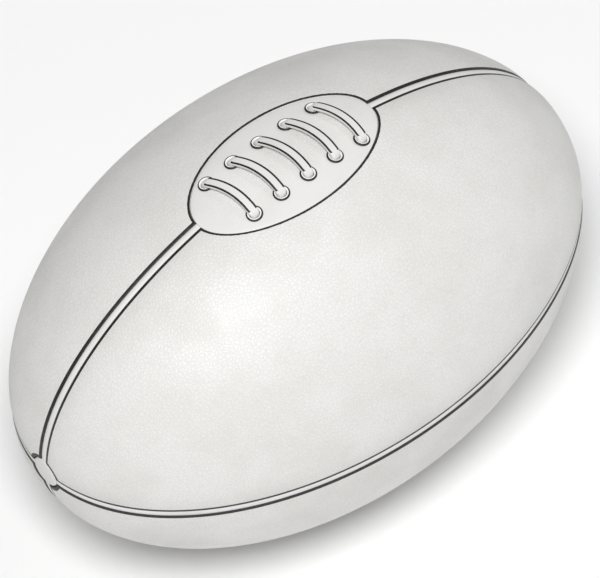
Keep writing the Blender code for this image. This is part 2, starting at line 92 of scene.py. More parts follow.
def spread(finish, value, low, high, to_low=0.0, to_high=1.0):
    """A value stretched from one range to another, held at the ends."""
    values = {"Value": value, "From Min": low, "From Max": high, "To Min": to_low, "To Max": to_high}
    return add_node(finish, "ShaderNodeMapRange", {"clamp": True}, values).outputs["Result"]


def bump(finish, shader, height, strength, depth):
    values = {"Height": height, "Strength": strength, "Distance": depth}
    link(finish, add_node(finish, "ShaderNodeBump", {}, values).outputs["Normal"], shader, "Normal")


def wear(node_name, finish):
    """A CAD node takes a finish in place of its plain colour."""
    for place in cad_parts[node_name].material_slots:
        place.material = finish


bladder_rubber, shader = new_finish("satin_bladder_rubber", BLADDER_RED, roughness=0.55)
bloom = spread(bladder_rubber, noise_on(bladder_rubber, scale=60.0, detail=6.0), low=0.4, high=0.7)
link(bladder_rubber, color_between(bladder_rubber, bloom, BLADDER_RED, BLADDER_BLOOM), shader, "Base Color")
bump(bladder_rubber, shader, noise_on(bladder_rubber, scale=900.0, detail=3.0), strength=0.2, depth=0.0002)
wear("bladder", bladder_rubber)

# Linings: unbleached cotton canvas glued behind each panel, so that the leather doesn't stretch.
# Out of sight in the finished ball, the solids stay and get a plain weave.

CANVAS = (0.72, 0.64, 0.47)
CANVAS_SHADE = (0.52, 0.45, 0.31)
CANVAS_WAVE_SCALE = 142.857


def reckon(finish, operation, *values):
    node = add_node(finish, "ShaderNodeMath", {"operation": operation}, dict(enumerate(values)))
    return node.outputs["Value"]


lining_canvas, shader = new_finish("lining_canvas", CANVAS, roughness=0.9)
bands = []
for direction in ('X', 'Y'):
    values = {"Vector": place_on(lining_canvas), "Scale": CANVAS_WAVE_SCALE, "Distortion": 0.4,
              "Detail": 1.0}
    band = add_node(lining_canvas, "ShaderNodeTexWave", {"bands_direction": direction}, values)
    bands.append(band.outputs["Fac"])
weave = reckon(lining_canvas, 'MULTIPLY', *bands)
link(lining_canvas, color_between(lining_canvas, weave, CANVAS_SHADE, CANVAS), shader, "Base Color")
bump(lining_canvas, shader, weave, strength=0.4, depth=0.0003)
for side in ("upper_front", "upper_back", "lower_front", "lower_back"):
    wear(side + "_lining", lining_canvas)

# Panels: four equal quarters of white grained leather, turned in along their seams and cut square at
# the ball's ends. Air pressure rounds them, the stitching draws their edges in, and every edge carries
# a line of black edge paint. The two upper panels leave an oval opening for the lacing.

BALL_CENTRE = 0.0944
HALF_LENGTH = 0.144
RADIUS = 0.095
LEATHER = 0.0018
SEAM_HALF_WIDTH = 0.0015
SEAM_DIP = 0.0006
DIP_WIDTH = 0.010
EDGE_ROUNDING = 0.0003
EDGE_TURNS = 5
FLANGE_DEPTH = 0.0070
FLANGE_AT_TIP = 0.0022
FLANGE_TAPER = (0.0155, 0.0355)
END_OPENING = 0.0080
PAINT_REACH = 0.0012
END_PAINT_REACH = 0.0015
PAINT_SHAVE = 0.00006
PANEL_COLUMNS = 150
PANEL_ROWS = 64
ROW_CROWDING = 0.6
OPENING_HALF_LENGTH = 0.04825
OPENING_HALF_WIDTH = 0.02725
BACKING_MARGIN = 0.0086
BACKING_DEPTH = 0.0030
OVAL_STEPS = 160
CUTTER_ABOVE = 0.004
CUTTER_BELOW = 0.014
CUTTER_CAP_SHARES = (0.0, 0.35, 0.7)
VALVE_ANGLE = math.radians(-68)
VALVE_HOLE = 0.0055
VALVE_CUTTER_LENGTH = 0.02
VALVE_STEPS = 64
LEAST_WIDTH = 0.000001
LEATHER_WHITE = (0.74, 0.735, 0.72)
LEATHER_SHADE = (0.68, 0.673, 0.655)
PEBBLES_PER_METRE = 620.0
PORE_SHARE = 0.25
# Greys painted into the leather: painted shade in the grain's creases, and painted shade with dirt in the
# seams' dips.
CREASE_PAINTED_SHADE = (0.54, 0.53, 0.51)
SOIL_AND_SHADE_GREY = (0.52, 0.50, 0.47)
SOIL_AND_SHADE_WIDTH = 0.016
SOIL_AND_SHADE_FALL = 1.8
SOIL_AND_SHADE_LEAST = 0.1
SOIL_AND_SHADE_MOST = 0.42
PAINT_BLACK = (0.010, 0.010, 0.011)
PAINT_RUBBED = (0.045, 0.044, 0.043)


def seam_soil_and_shade(finish):
    """Painted shade and dirt in the dips along the seams, more in some places than in others."""
    parts = add_node(finish, "ShaderNodeSeparateXYZ", {}, {"Vector": place_on(finish)}).outputs
    from_middle = reckon(finish, 'ABSOLUTE', parts["Y"])
    from_level = reckon(finish, 'ABSOLUTE', reckon(finish, 'SUBTRACT', parts["Z"], BALL_CENTRE))
    from_seam = reckon(finish, 'MINIMUM', from_middle, from_level)
    nearness = spread(finish, from_seam, low=0.001, high=SOIL_AND_SHADE_WIDTH, to_low=1.0, to_high=0.0)
    patches = noise_on(finish, scale=70.0, detail=6.0)
    patchy = spread(finish, patches, low=0.35, high=0.7, to_low=SOIL_AND_SHADE_LEAST, to_high=SOIL_AND_SHADE_MOST)
    return reckon(finish, 'MULTIPLY', reckon(finish, 'POWER', nearness, SOIL_AND_SHADE_FALL), patchy)


panel_leather, shader = new_finish("white_grained_leather", LEATHER_WHITE, roughness=0.5)
values = {"Vector": place_on(panel_leather), "Scale": PEBBLES_PER_METRE, "Randomness": 0.9}
pebbles = add_node(panel_leather, "ShaderNodeTexVoronoi", {"feature": 'DISTANCE_TO_EDGE'}, values)
pebbles = pebbles.outputs["Distance"]
# Painted shade: the creases between the grain's pebbles are greyed, as if shaded.
crease_shade = spread(panel_leather, pebbles, low=0.0, high=0.16, to_low=0.3, to_high=0.0)
blotches = spread(panel_leather, noise_on(panel_leather, scale=38.0, detail=5.0), low=0.42, high=0.72)
tone = color_between(panel_leather, blotches, LEATHER_WHITE, LEATHER_SHADE)
tone = color_between(panel_leather, crease_shade, tone, CREASE_PAINTED_SHADE)
# Painted shade and dirt: the leather greys towards each seam, which deepens the dips.
tone = color_between(panel_leather, seam_soil_and_shade(panel_leather), tone, SOIL_AND_SHADE_GREY)
link(panel_leather, tone, shader, "Base Color")
sheen = spread(panel_leather, blotches, low=0.0, high=1.0, to_low=0.46, to_high=0.58)
link(panel_leather, sheen, shader, "Roughness")
pores = noise_on(panel_leather, scale=2600.0, detail=3.0)
swells = spread(panel_leather, pebbles, low=0.0, high=0.3)
grain = reckon(panel_leather, 'MULTIPLY_ADD', pores, PORE_SHARE, swells)
bump(panel_leather, shader, grain, strength=0.3, depth=0.00025)

edge_paint, shader = new_finish("black_edge_paint", PAINT_BLACK, roughness=0.5)
rubbed = spread(edge_paint, noise_on(edge_paint, scale=420.0, detail=5.0), low=0.55, high=0.8)
link(edge_paint, color_between(edge_paint, rubbed, PAINT_BLACK, PAINT_RUBBED), shader, "Base Color")
bump(edge_paint, shader, noise_on(edge_paint, scale=1800.0, detail=3.0), strength=0.15, depth=0.0001)


def on_ball(along, around, depth):
    """A point by its angle along the ball from the left tip, its angle from the top towards the front
    and its depth below the skin."""
    radius = (RADIUS - depth) * math.sin(along)
    x = -(HALF_LENGTH - depth) * math.cos(along)
    return Vector((x, -radius * math.sin(around), BALL_CENTRE + radius * math.cos(around)))


def along_at(x):
    return math.acos(-x / HALF_LENGTH)


def between(first, last, share):
    return first + (last - first) * share


def eased(share):
    share = min(max(share, 0.0), 1.0)
    return share * share * (3 - 2 * share)


def rounding(radius, steps):
    """Inset and drop of the points of a rounded edge, from the flat above it to the side below it."""
    turns = [math.pi / 2 * step / steps for step in range(steps + 1)]
    return [(radius * (1 - math.sin(turn)), radius * (1 - math.cos(turn))) for turn in turns]


def flange_depth(along):
    """The turned-in edges are pared down towards the tips."""
    radius = RADIUS * math.sin(along)
    share = eased((radius - FLANGE_TAPER[0]) / (FLANGE_TAPER[1] - FLANGE_TAPER[0]))
    return between(FLANGE_AT_TIP, FLANGE_DEPTH, share)


def seam_dip(offset):
    share = (max(offset, SEAM_HALF_WIDTH) - SEAM_HALF_WIDTH) / DIP_WIDTH
    return SEAM_DIP * max(0.0, 1 - share) ** 2


def seam_angle(along, offset, depth):
    """The angle round the ball of a point that stands off a seam's plane."""
    return math.asin(offset / ((RADIUS - depth) * math.sin(along)))


def pick(piece):
    """Select one piece alone for the operators that follow."""
    bpy.ops.object.select_all(action='DESELECT')
    piece.select_set(True)
    bpy.context.view_layer.objects.active = piece


def laid_grid(name, columns, rows, place):
    """A flat grid laid over a shape: place gives the point for each column and row of its corners."""
    bpy.ops.object.select_all(action='DESELECT')
    bpy.ops.mesh.primitive_grid_add(x_subdivisions=columns, y_subdivisions=rows, size=2)
    piece = bpy.context.object
    piece.name = name
    for corner in piece.data.vertices:
        column = round((corner.co.x + 1) / 2 * columns)
        row = round((corner.co.y + 1) / 2 * rows)
        corner.co = place(column, row)
    return piece


def closed_up(piece):
    """Merge the corners that lie together, fill open ends and turn all faces outwards."""
    pick(piece)
    bpy.ops.object.mode_set(mode='EDIT')
    bpy.ops.mesh.select_all(action='SELECT')
    bpy.ops.mesh.remove_doubles(threshold=LEAST_WIDTH)
    bpy.ops.mesh.select_all(action='DESELECT')
    bpy.ops.mesh.select_mode(type='EDGE')
    bpy.ops.mesh.select_non_manifold()
    bpy.ops.mesh.fill_holes(sides=0)
    bpy.ops.mesh.select_all(action='SELECT')
    bpy.ops.mesh.normals_make_consistent(inside=False)
    bpy.ops.object.mode_set(mode='OBJECT')


def smoothed(piece, degrees):
    pick(piece)
    bpy.ops.object.shade_smooth_by_angle(angle=math.radians(degrees))


def cut_away(piece, cutter):
    """Cut one closed shape out of another, and drop the faces of no width that the cut leaves."""
    pick(piece)
    cut = piece.modifiers.new("cut", 'BOOLEAN')
    cut.operation = 'DIFFERENCE'
    cut.solver = 'EXACT'
    cut.object = cutter
    bpy.ops.object.modifier_apply(modifier=cut.name)
    bpy.ops.object.mode_set(mode='EDIT')
    bpy.ops.mesh.select_all(action='SELECT')
    bpy.ops.mesh.dissolve_degenerate(threshold=LEAST_WIDTH)
    bpy.ops.object.mode_set(mode='OBJECT')


def round_cutter(radius, length, steps, point, outward):
    bpy.ops.object.select_all(action='DESELECT')
    bpy.ops.mesh.primitive_cylinder_add(
        vertices=steps, radius=radius, depth=length, location=point,
        rotation=outward.to_track_quat('Z', 'Y').to_euler())
    return bpy.context.object


def oval_cutter(name, levels, paint_levels):
    """A solid that goes through the wall along an oval: levels give its growth and depth, from the top.
    The faces that it leaves between the two paint levels get the edge paint."""
    rings = [(share, levels[0]) for share in CUTTER_CAP_SHARES]
    rings += [(1.0, level) for level in levels]
    rings += [(share, levels[-1]) for share in reversed(CUTTER_CAP_SHARES)]

    def place(column, row):
        share, (growth, depth) = rings[row]
        turn = 2 * math.pi * column / OVAL_STEPS
        x = share * (OPENING_HALF_LENGTH + growth) * math.cos(turn)
        around = share * (OPENING_HALF_WIDTH + growth) * math.sin(turn) / RADIUS
        offset = abs(RADIUS * math.sin(along_at(x)) * math.sin(around))
        return on_ball(along_at(x), around, depth + seam_dip(offset))

    cutter = laid_grid(name, OVAL_STEPS, len(rings) - 1, place)
    cutter.data.materials.append(panel_leather)
    cutter.data.materials.append(edge_paint)
    for face in cutter.data.polygons:
        level = face.index // OVAL_STEPS - len(CUTTER_CAP_SHARES)
        if paint_levels[0] <= level < paint_levels[1]:
            face.material_index = 1
    closed_up(cutter)
    return cutter


def panel_edge(along):
    """Offset from the seam's plane and depth of a turned-in edge's points, from its foot to the skin."""
    points = [(SEAM_HALF_WIDTH, flange_depth(along))]
    for inset, drop in reversed(rounding(EDGE_ROUNDING, EDGE_TURNS)):
        offset = SEAM_HALF_WIDTH + inset
        points.append((offset, seam_dip(offset) + drop))
    offset += PAINT_REACH
    points.append((offset, seam_dip(offset)))
    return points


END_ALONG = math.asin(END_OPENING / RADIUS)
EDGE_ROWS = EDGE_TURNS + 3
SKIN_ROWS = 2 * EDGE_ROWS + PANEL_ROWS - 1

# Each panel is one closed tube of a grid: its rows go over the skin from foot to foot and back inside,
# and its columns run from tip to tip, with a rounded lip at both ends and a last column that closes the end
panel_columns = [(END_ALONG, EDGE_ROUNDING, False)]
for inset, drop in reversed(rounding(EDGE_ROUNDING, EDGE_TURNS)):
    panel_columns.append((END_ALONG + inset / RADIUS, drop, True))
paint_end = panel_columns[-1][0] + END_PAINT_REACH / RADIUS
for column in range(PANEL_COLUMNS // 2 + 1):
    panel_columns.append((between(paint_end, math.pi / 2, 2 * column / PANEL_COLUMNS), 0.0, True))
panel_columns += [(math.pi - along, lip, outside) for along, lip, outside in panel_columns[-2::-1]]


def panel_section(along, lip):
    """Angle from the near seam and depth of the rows of the skin, and of the rows inside it."""
    edge = panel_edge(along)
    foot = edge[0][1]
    back = []
    for row in range(EDGE_ROWS):
        back.append((SEAM_HALF_WIDTH + LEATHER, between(foot, LEATHER, row / (EDGE_ROWS - 1))))
    skin = [(seam_angle(along, offset, depth), depth) for offset, depth in edge]
    inside = [(seam_angle(along, offset, depth), depth) for offset, depth in back]
    skin_edge = skin[-1][0]
    inside_edge = inside[-1][0]
    reach = RADIUS * math.sin(along)
    for row in range(1, PANEL_ROWS):
        share = row / PANEL_ROWS
        share = between(share, (1 - math.cos(math.pi * share)) / 2, ROW_CROWDING)
        angle = between(skin_edge, math.pi / 2 - skin_edge, share)
        skin.append((angle, seam_dip(reach * math.sin(angle)) + seam_dip(reach * math.cos(angle))))
        inside.append((between(inside_edge, math.pi / 2 - inside_edge, share), LEATHER))
    for rows in (skin, inside):
        rows += [(math.pi / 2 - angle, depth) for angle, depth in rows[EDGE_ROWS - 1::-1]]
    skin = [(angle, min(depth + lip, max(depth, LEATHER))) for angle, depth in skin]
    return skin, inside


def panel_piece(name, quarter):
    """One panel, pressed flat where the ball's weight holds it to the floor."""
    sections = []
    for along, lip, outside in panel_columns:
        skin, inside = panel_section(along, lip)
        ring = (skin if outside else inside)[::-1] + inside
        points = [on_ball(along, quarter * math.pi / 2 + angle, depth) for angle, depth in ring]
        sections.append([Vector((point.x, point.y, max(point.z, 0.0))) for point in points])
    columns = len(sections) - 1
    ring_size = len(sections[0])
    piece = laid_grid(name, columns, ring_size, lambda column, row: sections[column][row % ring_size])
    piece.data.materials.append(panel_leather)
    piece.data.materials.append(edge_paint)
    for face in piece.data.polygons:
        row, column = divmod(face.index, columns)
        from_foot = min(row, SKIN_ROWS - 2 - row)
        from_end = min(column, columns - 1 - column)
        if 0 < from_foot < EDGE_ROWS - 1 or from_foot >= 0 and from_end <= EDGE_TURNS + 1:
            face.material_index = 1
    closed_up(piece)
    return piece


# The opening's cutter also shaves a hair off the skin beside the edge, so that the painted line has faces
# of its own
painted_growth = EDGE_ROUNDING + PAINT_REACH
opening_levels = [(painted_growth, -CUTTER_ABOVE), (painted_growth, -PAINT_SHAVE / 2)]
opening_levels += [(inset, drop + PAINT_SHAVE) for inset, drop in rounding(EDGE_ROUNDING, EDGE_TURNS)]
opening_levels.append((0.0, CUTTER_BELOW))
opening_cutter = oval_cutter("opening_cutter", opening_levels, paint_levels=(1, len(opening_levels) - 2))
flange_levels = [(BACKING_MARGIN, BACKING_DEPTH), (BACKING_MARGIN, CUTTER_BELOW)]
flange_cutter = oval_cutter("flange_cutter", flange_levels, paint_levels=(0, 0))
valve_axis = Vector((0, -math.sin(VALVE_ANGLE), math.cos(VALVE_ANGLE)))
valve_seat = on_ball(math.pi / 2, VALVE_ANGLE, 0.0)

for quarter, side in enumerate(("upper_front", "lower_front", "lower_back", "upper_back")):
    panel = panel_piece("panel_" + side, quarter)
    if side.startswith("upper"):
        cut_away(panel, opening_cutter)
        cut_away(panel, flange_cutter)
    if side == "upper_back":
        valve_cutter = round_cutter(VALVE_HOLE, VALVE_CUTTER_LENGTH, VALVE_STEPS, valve_seat, valve_axis)
        cut_away(panel, valve_cutter)
        bpy.data.objects.remove(valve_cutter)
    smoothed(panel, degrees=50)
    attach(panel, "ball")
    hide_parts(side + "_panel")
bpy.data.objects.remove(opening_cutter)
bpy.data.objects.remove(flange_cutter)

# Welts: folded strips of smooth white leather sewn between the turned-in edges, so that each seam shows
# a narrow rounded band. The top seam has two, which butt against the lacing patch.

WELT_HALF_WIDTH = 0.00135
WELT_SINK = 0.0006
WELT_CROWN = 0.0004
WELT_TURNS = 10
WELT_COLUMNS = 120
PATCH_HALF_LENGTH = 0.0481

welt_leather, shader = new_finish("smooth_white_leather", LEATHER_WHITE, roughness=0.5)
blotches = spread(welt_leather, noise_on(welt_leather, scale=45.0, detail=5.0), low=0.42, high=0.72)
link(welt_leather, color_between(welt_leather, blotches, LEATHER_WHITE, LEATHER_SHADE), shader, "Base Color")
sheen = spread(welt_leather, blotches, low=0.0, high=1.0, to_low=0.45, to_high=0.6)
link(welt_leather, sheen, shader, "Roughness")
bump(welt_leather, shader, noise_on(welt_leather, scale=1500.0, detail=4.0), strength=0.18, depth=0.0002)


def welt_piece(name, quarter, first, last):
    crown = []
    for step in range(WELT_TURNS + 1):
        turn = math.pi * step / WELT_TURNS
        crown.append((WELT_HALF_WIDTH * math.cos(turn), WELT_SINK + WELT_CROWN * (1 - math.sin(turn))))

    def place(column, row):
        along = between(first, last, column / WELT_COLUMNS)
        foot = flange_depth(along)
        section = [(WELT_HALF_WIDTH, foot), *crown, (-WELT_HALF_WIDTH, foot)]
        offset, depth = section[row % len(section)]
        return on_ball(along, quarter * math.pi / 2 + seam_angle(along, offset, depth), depth)

    piece = laid_grid(name, WELT_COLUMNS, len(crown) + 2, place)
    closed_up(piece)
    piece.data.materials.append(welt_leather)
    return piece


WELT_RUNS = {
    "top_left": (0, END_ALONG, along_at(-PATCH_HALF_LENGTH)),
    "top_right": (0, along_at(PATCH_HALF_LENGTH), math.pi - END_ALONG),
    "front": (1, END_ALONG, math.pi - END_ALONG),
    "bottom": (2, END_ALONG, math.pi - END_ALONG),
    "back": (3, END_ALONG, math.pi - END_ALONG),
}
for run, (quarter, first, last) in WELT_RUNS.items():
    welt = welt_piece("welt_" + run, quarter, first, last)
    smoothed(welt, degrees=45)
    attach(welt, "ball")
    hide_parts(run + "_welt")

# Seam threads: waxed cotton along both sides of each seam, inside the ball. The solids stay and get the
# fine slanting twist of plied thread.

THREAD_COTTON = (0.55, 0.45, 0.28)
THREAD_SHADE = (0.34, 0.26, 0.14)

thread_cotton, shader = new_finish("waxed_cotton_thread", THREAD_COTTON, roughness=0.7)
values = {"Vector": place_on(thread_cotton), "Scale": 350.0, "Distortion": 0.6}
twist = add_node(thread_cotton, "ShaderNodeTexWave", {"bands_direction": 'DIAGONAL'}, values).outputs["Fac"]
link(thread_cotton, color_between(thread_cotton, twist, THREAD_SHADE, THREAD_COTTON), shader, "Base Color")
bump(thread_cotton, shader, twist, strength=0.4, depth=0.0002)
for run in WELT_RUNS:
    wear(run + "_thread", thread_cotton)

# End buttons: a leather disc behind the square-cut panel ends at each tip, its round face level with
# them. It is pressed from the same white leather, a little domed, with a rolled rim.

BUTTON_RADIUS = 0.0074
BUTTON_RIM = 0.0008
BUTTON_RIM_TURNS = 5
BUTTON_DOME = 0.0004
BUTTON_DOME_SHARES = (0.0, 0.3, 0.6, 0.85)
BUTTON_FLANGE_RADIUS = 0.0135
BUTTON_TOP = 0.0025
BUTTON_BOTTOM = 0.0035
BUTTON_STEPS = 72


def turned_piece(name, profile, steps, finish):
    """A profile of (radius, height) points spun round the upright axis: a ring, or a solid if it starts
    on the axis."""
    rows = len(profile) if profile[0][0] > 0 else len(profile) - 1

    def place(column, row):
        radius, height = profile[row % len(profile)]
        turn = 2 * math.pi * column / steps
        return Vector((radius * math.cos(turn), radius * math.sin(turn), height))

    piece = laid_grid(name, steps, rows, place)
    piece.data.materials.append(finish)
    closed_up(piece)
    return piece


def set_up(piece, point, outward):
    """Turn a piece's upright axis outward and move its origin to a point, and leave its transform plain."""
    turn = outward.to_track_quat('Z', 'Y').to_matrix().to_4x4()
    piece.data.transform(Matrix.Translation(point) @ turn)


def copy_of(piece, name):
    pick(piece)
    bpy.ops.object.duplicate(linked=False)
    copy = bpy.context.object
    copy.name = name
    return copy


def tip_height(radius, depth):
    """How far along the ball's length its wall is from the centre, at a radius from the long axis."""
    return (HALF_LENGTH - depth) * math.sqrt(1 - (radius / (RADIUS - depth)) ** 2)


BUTTON_FACE = tip_height(END_OPENING, 0.0)
button_profile = []
for share in BUTTON_DOME_SHARES:
    button_profile.append((share * (BUTTON_RADIUS - BUTTON_RIM), BUTTON_FACE - BUTTON_DOME * share ** 2))
for inset, drop in rounding(BUTTON_RIM, BUTTON_RIM_TURNS):
    button_profile.append((BUTTON_RADIUS - inset, BUTTON_FACE - BUTTON_DOME - drop))
for radius in (BUTTON_RADIUS, BUTTON_FLANGE_RADIUS):
    button_profile.append((radius, tip_height(radius, BUTTON_TOP)))
for radius in (BUTTON_FLANGE_RADIUS, BUTTON_RADIUS, 0.0):
    button_profile.append((radius, tip_height(radius, BUTTON_BOTTOM)))
first_button = turned_piece("first_button", button_profile, BUTTON_STEPS, welt_leather)
smoothed(first_button, degrees=40)
for end, outward in (("left", Vector((-1, 0, 0))), ("right", Vector((1, 0, 0)))):
    button = copy_of(first_button, "button_" + end)
    set_up(button, Vector((0, 0, BALL_CENTRE)), outward)
    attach(button, "ball")
    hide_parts(end + "_end_button")
bpy.data.objects.remove(first_button)

# Slit backing and tongue: undyed leather under the lacing. The backing has the slit that the bladder goes
# in by, and the tongue keeps the lace off the bladder. Hidden, so the solids stay with a fibrous finish.

HIDE_TAN = (0.50, 0.33, 0.19)
HIDE_FIBRE = (0.38, 0.23, 0.12)

inner_hide, shader = new_finish("undyed_flesh_side", HIDE_TAN, roughness=0.8)
fibre = spread(inner_hide, noise_on(inner_hide, scale=500.0, detail=8.0), low=0.35, high=0.7)
link(inner_hide, color_between(inner_hide, fibre, HIDE_FIBRE, HIDE_TAN), shader, "Base Color")
bump(inner_hide, shader, fibre, strength=0.4, depth=0.0003)
wear("slit_backing", inner_hide)
wear("tongue", inner_hide)

# Lacing patch: an oval of smooth white leather let into the opening a little below the panels, with ten
# punched holes for the eyelets. Its ends meet the welts of the top seam.

PATCH_HALF_WIDTH = 0.0271
PATCH_SINK = 0.0006
PATCH_LEATHER = 0.0018
PATCH_ROUNDING = 0.0004
PATCH_TURNS = 4
PATCH_TOP_SHARES = (0.0, 0.12, 0.24, 0.36, 0.48, 0.6, 0.72, 0.84, 0.94)
PATCH_BACK_SHARES = (1.0, 0.7, 0.4, 0.0)
LACE_ROWS = 5
LACE_PITCH = 0.015025
LACE_SPAN = 0.0277
LACE_SLANT = 0.0045
PUNCH_RADIUS = 0.0033
PUNCH_LENGTH = 0.012
PUNCH_STEPS = 48
OUTWARD_REACH = 0.01

eyelet_places = []
for row in range(LACE_ROWS):
    middle = (row - (LACE_ROWS - 1) / 2) * LACE_PITCH
    for side in (-1, 1):
        eyelet_places.append((middle + side * LACE_SLANT / 2, side * LACE_SPAN / 2))


def on_patch(x, across, depth):
    return on_ball(along_at(x), across / RADIUS, depth)


def patch_outward(x, across):
    return (on_patch(x, across, 0.0) - on_patch(x, across, OUTWARD_REACH)).normalized()


patch_levels = [(share, 0.0, PATCH_SINK) for share in PATCH_TOP_SHARES]
patch_levels += [(1.0, inset, PATCH_SINK + drop) for inset, drop in rounding(PATCH_ROUNDING, PATCH_TURNS)]
patch_levels += [(share, 0.0, PATCH_SINK + PATCH_LEATHER) for share in PATCH_BACK_SHARES]


def patch_place(column, row):
    share, inset, depth = patch_levels[row]
    turn = 2 * math.pi * column / OVAL_STEPS
    x = (share * PATCH_HALF_LENGTH - inset) * math.cos(turn)
    return on_patch(x, (share * PATCH_HALF_WIDTH - inset) * math.sin(turn), depth)


patch = laid_grid("oval_patch", OVAL_STEPS, len(patch_levels) - 1, patch_place)
closed_up(patch)
patch.data.materials.append(welt_leather)
punches = []
for x, across in eyelet_places:
    point = on_patch(x, across, PATCH_SINK)
    punches.append(round_cutter(PUNCH_RADIUS, PUNCH_LENGTH, PUNCH_STEPS, point, patch_outward(x, across)))
for punch in punches:
    punch.select_set(True)
bpy.ops.object.join()
joined_punches = bpy.context.object
cut_away(patch, joined_punches)
bpy.data.objects.remove(joined_punches)
smoothed(patch, degrees=40)
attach(patch, "ball")
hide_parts("lacing_patch")

# Eyelets: pressed brass rings, enamelled white on top and black round the rim, set through the patch and
# the backing at both ends of each bar of the lace. One ring is turned and copied ten times.

EYELET_BORE = 0.0024
EYELET_BARREL = 0.0029
EYELET_RIM = 0.0038
EYELET_TOP = 0.0009
EYELET_SEAT = 0.0003
EYELET_FOOT = -0.0038
EYELET_ROUNDING = 0.0005
EYELET_TURNS = 4
EYELET_PAINT = 0.0007
EYELET_STEPS = 48
ENAMEL_WHITE = (0.86, 0.86, 0.85)
ENAMEL_SHADE = (0.78, 0.78, 0.77)

eyelet_enamel, shader = new_finish("white_enamel", ENAMEL_WHITE, roughness=0.35)
chips = spread(eyelet_enamel, noise_on(eyelet_enamel, scale=300.0, detail=4.0), low=0.45, high=0.75)
link(eyelet_enamel, color_between(eyelet_enamel, chips, ENAMEL_WHITE, ENAMEL_SHADE), shader, "Base Color")
bump(eyelet_enamel, shader, noise_on(eyelet_enamel, scale=900.0, detail=2.0), strength=0.1, depth=0.0001)

eyelet_edge = rounding(EYELET_ROUNDING, EYELET_TURNS)
eyelet_profile = [(EYELET_BORE, EYELET_FOOT)]
eyelet_profile += [(EYELET_BORE + drop, EYELET_TOP - inset) for inset, drop in eyelet_edge]
eyelet_profile.append((EYELET_RIM - EYELET_PAINT, EYELET_TOP))
eyelet_profile += [(EYELET_RIM - inset, EYELET_TOP - drop) for inset, drop in eyelet_edge]
eyelet_profile += [(EYELET_RIM, EYELET_SEAT), (EYELET_BARREL, EYELET_SEAT), (EYELET_BARREL, EYELET_FOOT)]
first_eyelet = turned_piece("first_eyelet", eyelet_profile, EYELET_STEPS, eyelet_enamel)
first_eyelet.data.materials.append(edge_paint)
for face in first_eyelet.data.polygons:
    if face.center.xy.length > EYELET_RIM - EYELET_PAINT and face.center.z > EYELET_SEAT:
        face.material_index = 1
smoothed(first_eyelet, degrees=50)
for number, (x, across) in enumerate(eyelet_places, start=1):
    eyelet = copy_of(first_eyelet, f"eyelet_ring_{number:02d}")
    set_up(eyelet, on_patch(x, across, PATCH_SINK), patch_outward(x, across))
    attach(eyelet, "ball")
    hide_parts(f"eyelet_{number}")
bpy.data.objects.remove(first_eyelet)

# Lace: one long white leather thong with black-painted edges, over the patch from each back eyelet to the
# front one and under it to the next row. It gathers to fill the eyelets, and each bar bows a little.

LACE_WIDTH = 0.0050
LACE_THICKNESS = 0.0016
LACE_CORNER = 0.0006
LACE_GATHERED = (0.0044, 0.0036)
GATHERED_ROUNDNESS = 0.9
LACE_PAINT = 0.000495
PAINT_STOPS_AT_GATHER = 0.2
LACE_OVER = -0.0011
LACE_UNDER = 0.0061
LACE_TURN = 0.0019
LACE_ARCH = 0.0012
LACE_BOW = 0.0020
LACE_TAIL = 0.6
TURN_POINTS = 8
BAR_POINTS = 28
UNDER_POINTS = 10
CORNER_POINTS = 5
SIDE_REACH = 0.0001


def lace_run(start, end, level, over, turns):
    """Points of one run as (x, across, depth, heading, gather), over the patch or under it. The two turns
    say whether it goes through an eyelet at its start and at its end."""
    span = Vector((end[0] - start[0], end[1] - start[1]))
    step = span.normalized()
    heading = math.atan2(step.y, step.x)
    toward = -1 if over else 1
    bend = []
    for turn, (inset, drop) in enumerate(rounding(LACE_TURN, TURN_POINTS)):
        bend.append((drop, level - toward * inset, 1 - eased(turn / TURN_POINTS)))
    count = BAR_POINTS if over else UNDER_POINTS
    first = LACE_TURN if turns[0] else 0.0
    last = span.length - (LACE_TURN if turns[1] else 0.0)
    run = list(bend) if turns[0] else [(0.0, level, 0.0)]
    run += [(between(first, last, i / count), level, 0.0) for i in range(1, count)]
    if turns[1]:
        run += [(span.length - out, depth, gather) for out, depth, gather in reversed(bend)]
    else:
        run.append((span.length, level, 0.0))
    route = []
    for out, depth, gather in run:
        share = out / span.length
        hump = max(0.0, 1 - (2 * share - 1) ** 2) if over else 0.0
        x = start[0] + step.x * out + LACE_BOW * hump
        route.append((x, start[1] + step.y * out, depth - LACE_ARCH * hump, heading, gather))
    return route


backs = eyelet_places[0::2]
fronts = eyelet_places[1::2]
tail = Vector((LACE_PITCH - LACE_SLANT, -LACE_SPAN)) * LACE_TAIL
first_tail = (backs[0][0] - tail.x, backs[0][1] - tail.y)
last_tail = (fronts[-1][0] + tail.x, fronts[-1][1] + tail.y)
lace_route = lace_run(first_tail, backs[0], LACE_UNDER, over=False, turns=(False, True))
for row in range(LACE_ROWS):
    lace_route += lace_run(backs[row], fronts[row], LACE_OVER, over=True, turns=(True, True))
    if row + 1 < LACE_ROWS:
        lace_route += lace_run(fronts[row], backs[row + 1], LACE_UNDER, over=False, turns=(True, True))
lace_route += lace_run(fronts[-1], last_tail, LACE_UNDER, over=False, turns=(True, False))
lace_points = [on_patch(x, across, depth) for x, across, depth, heading, gather in lace_route]


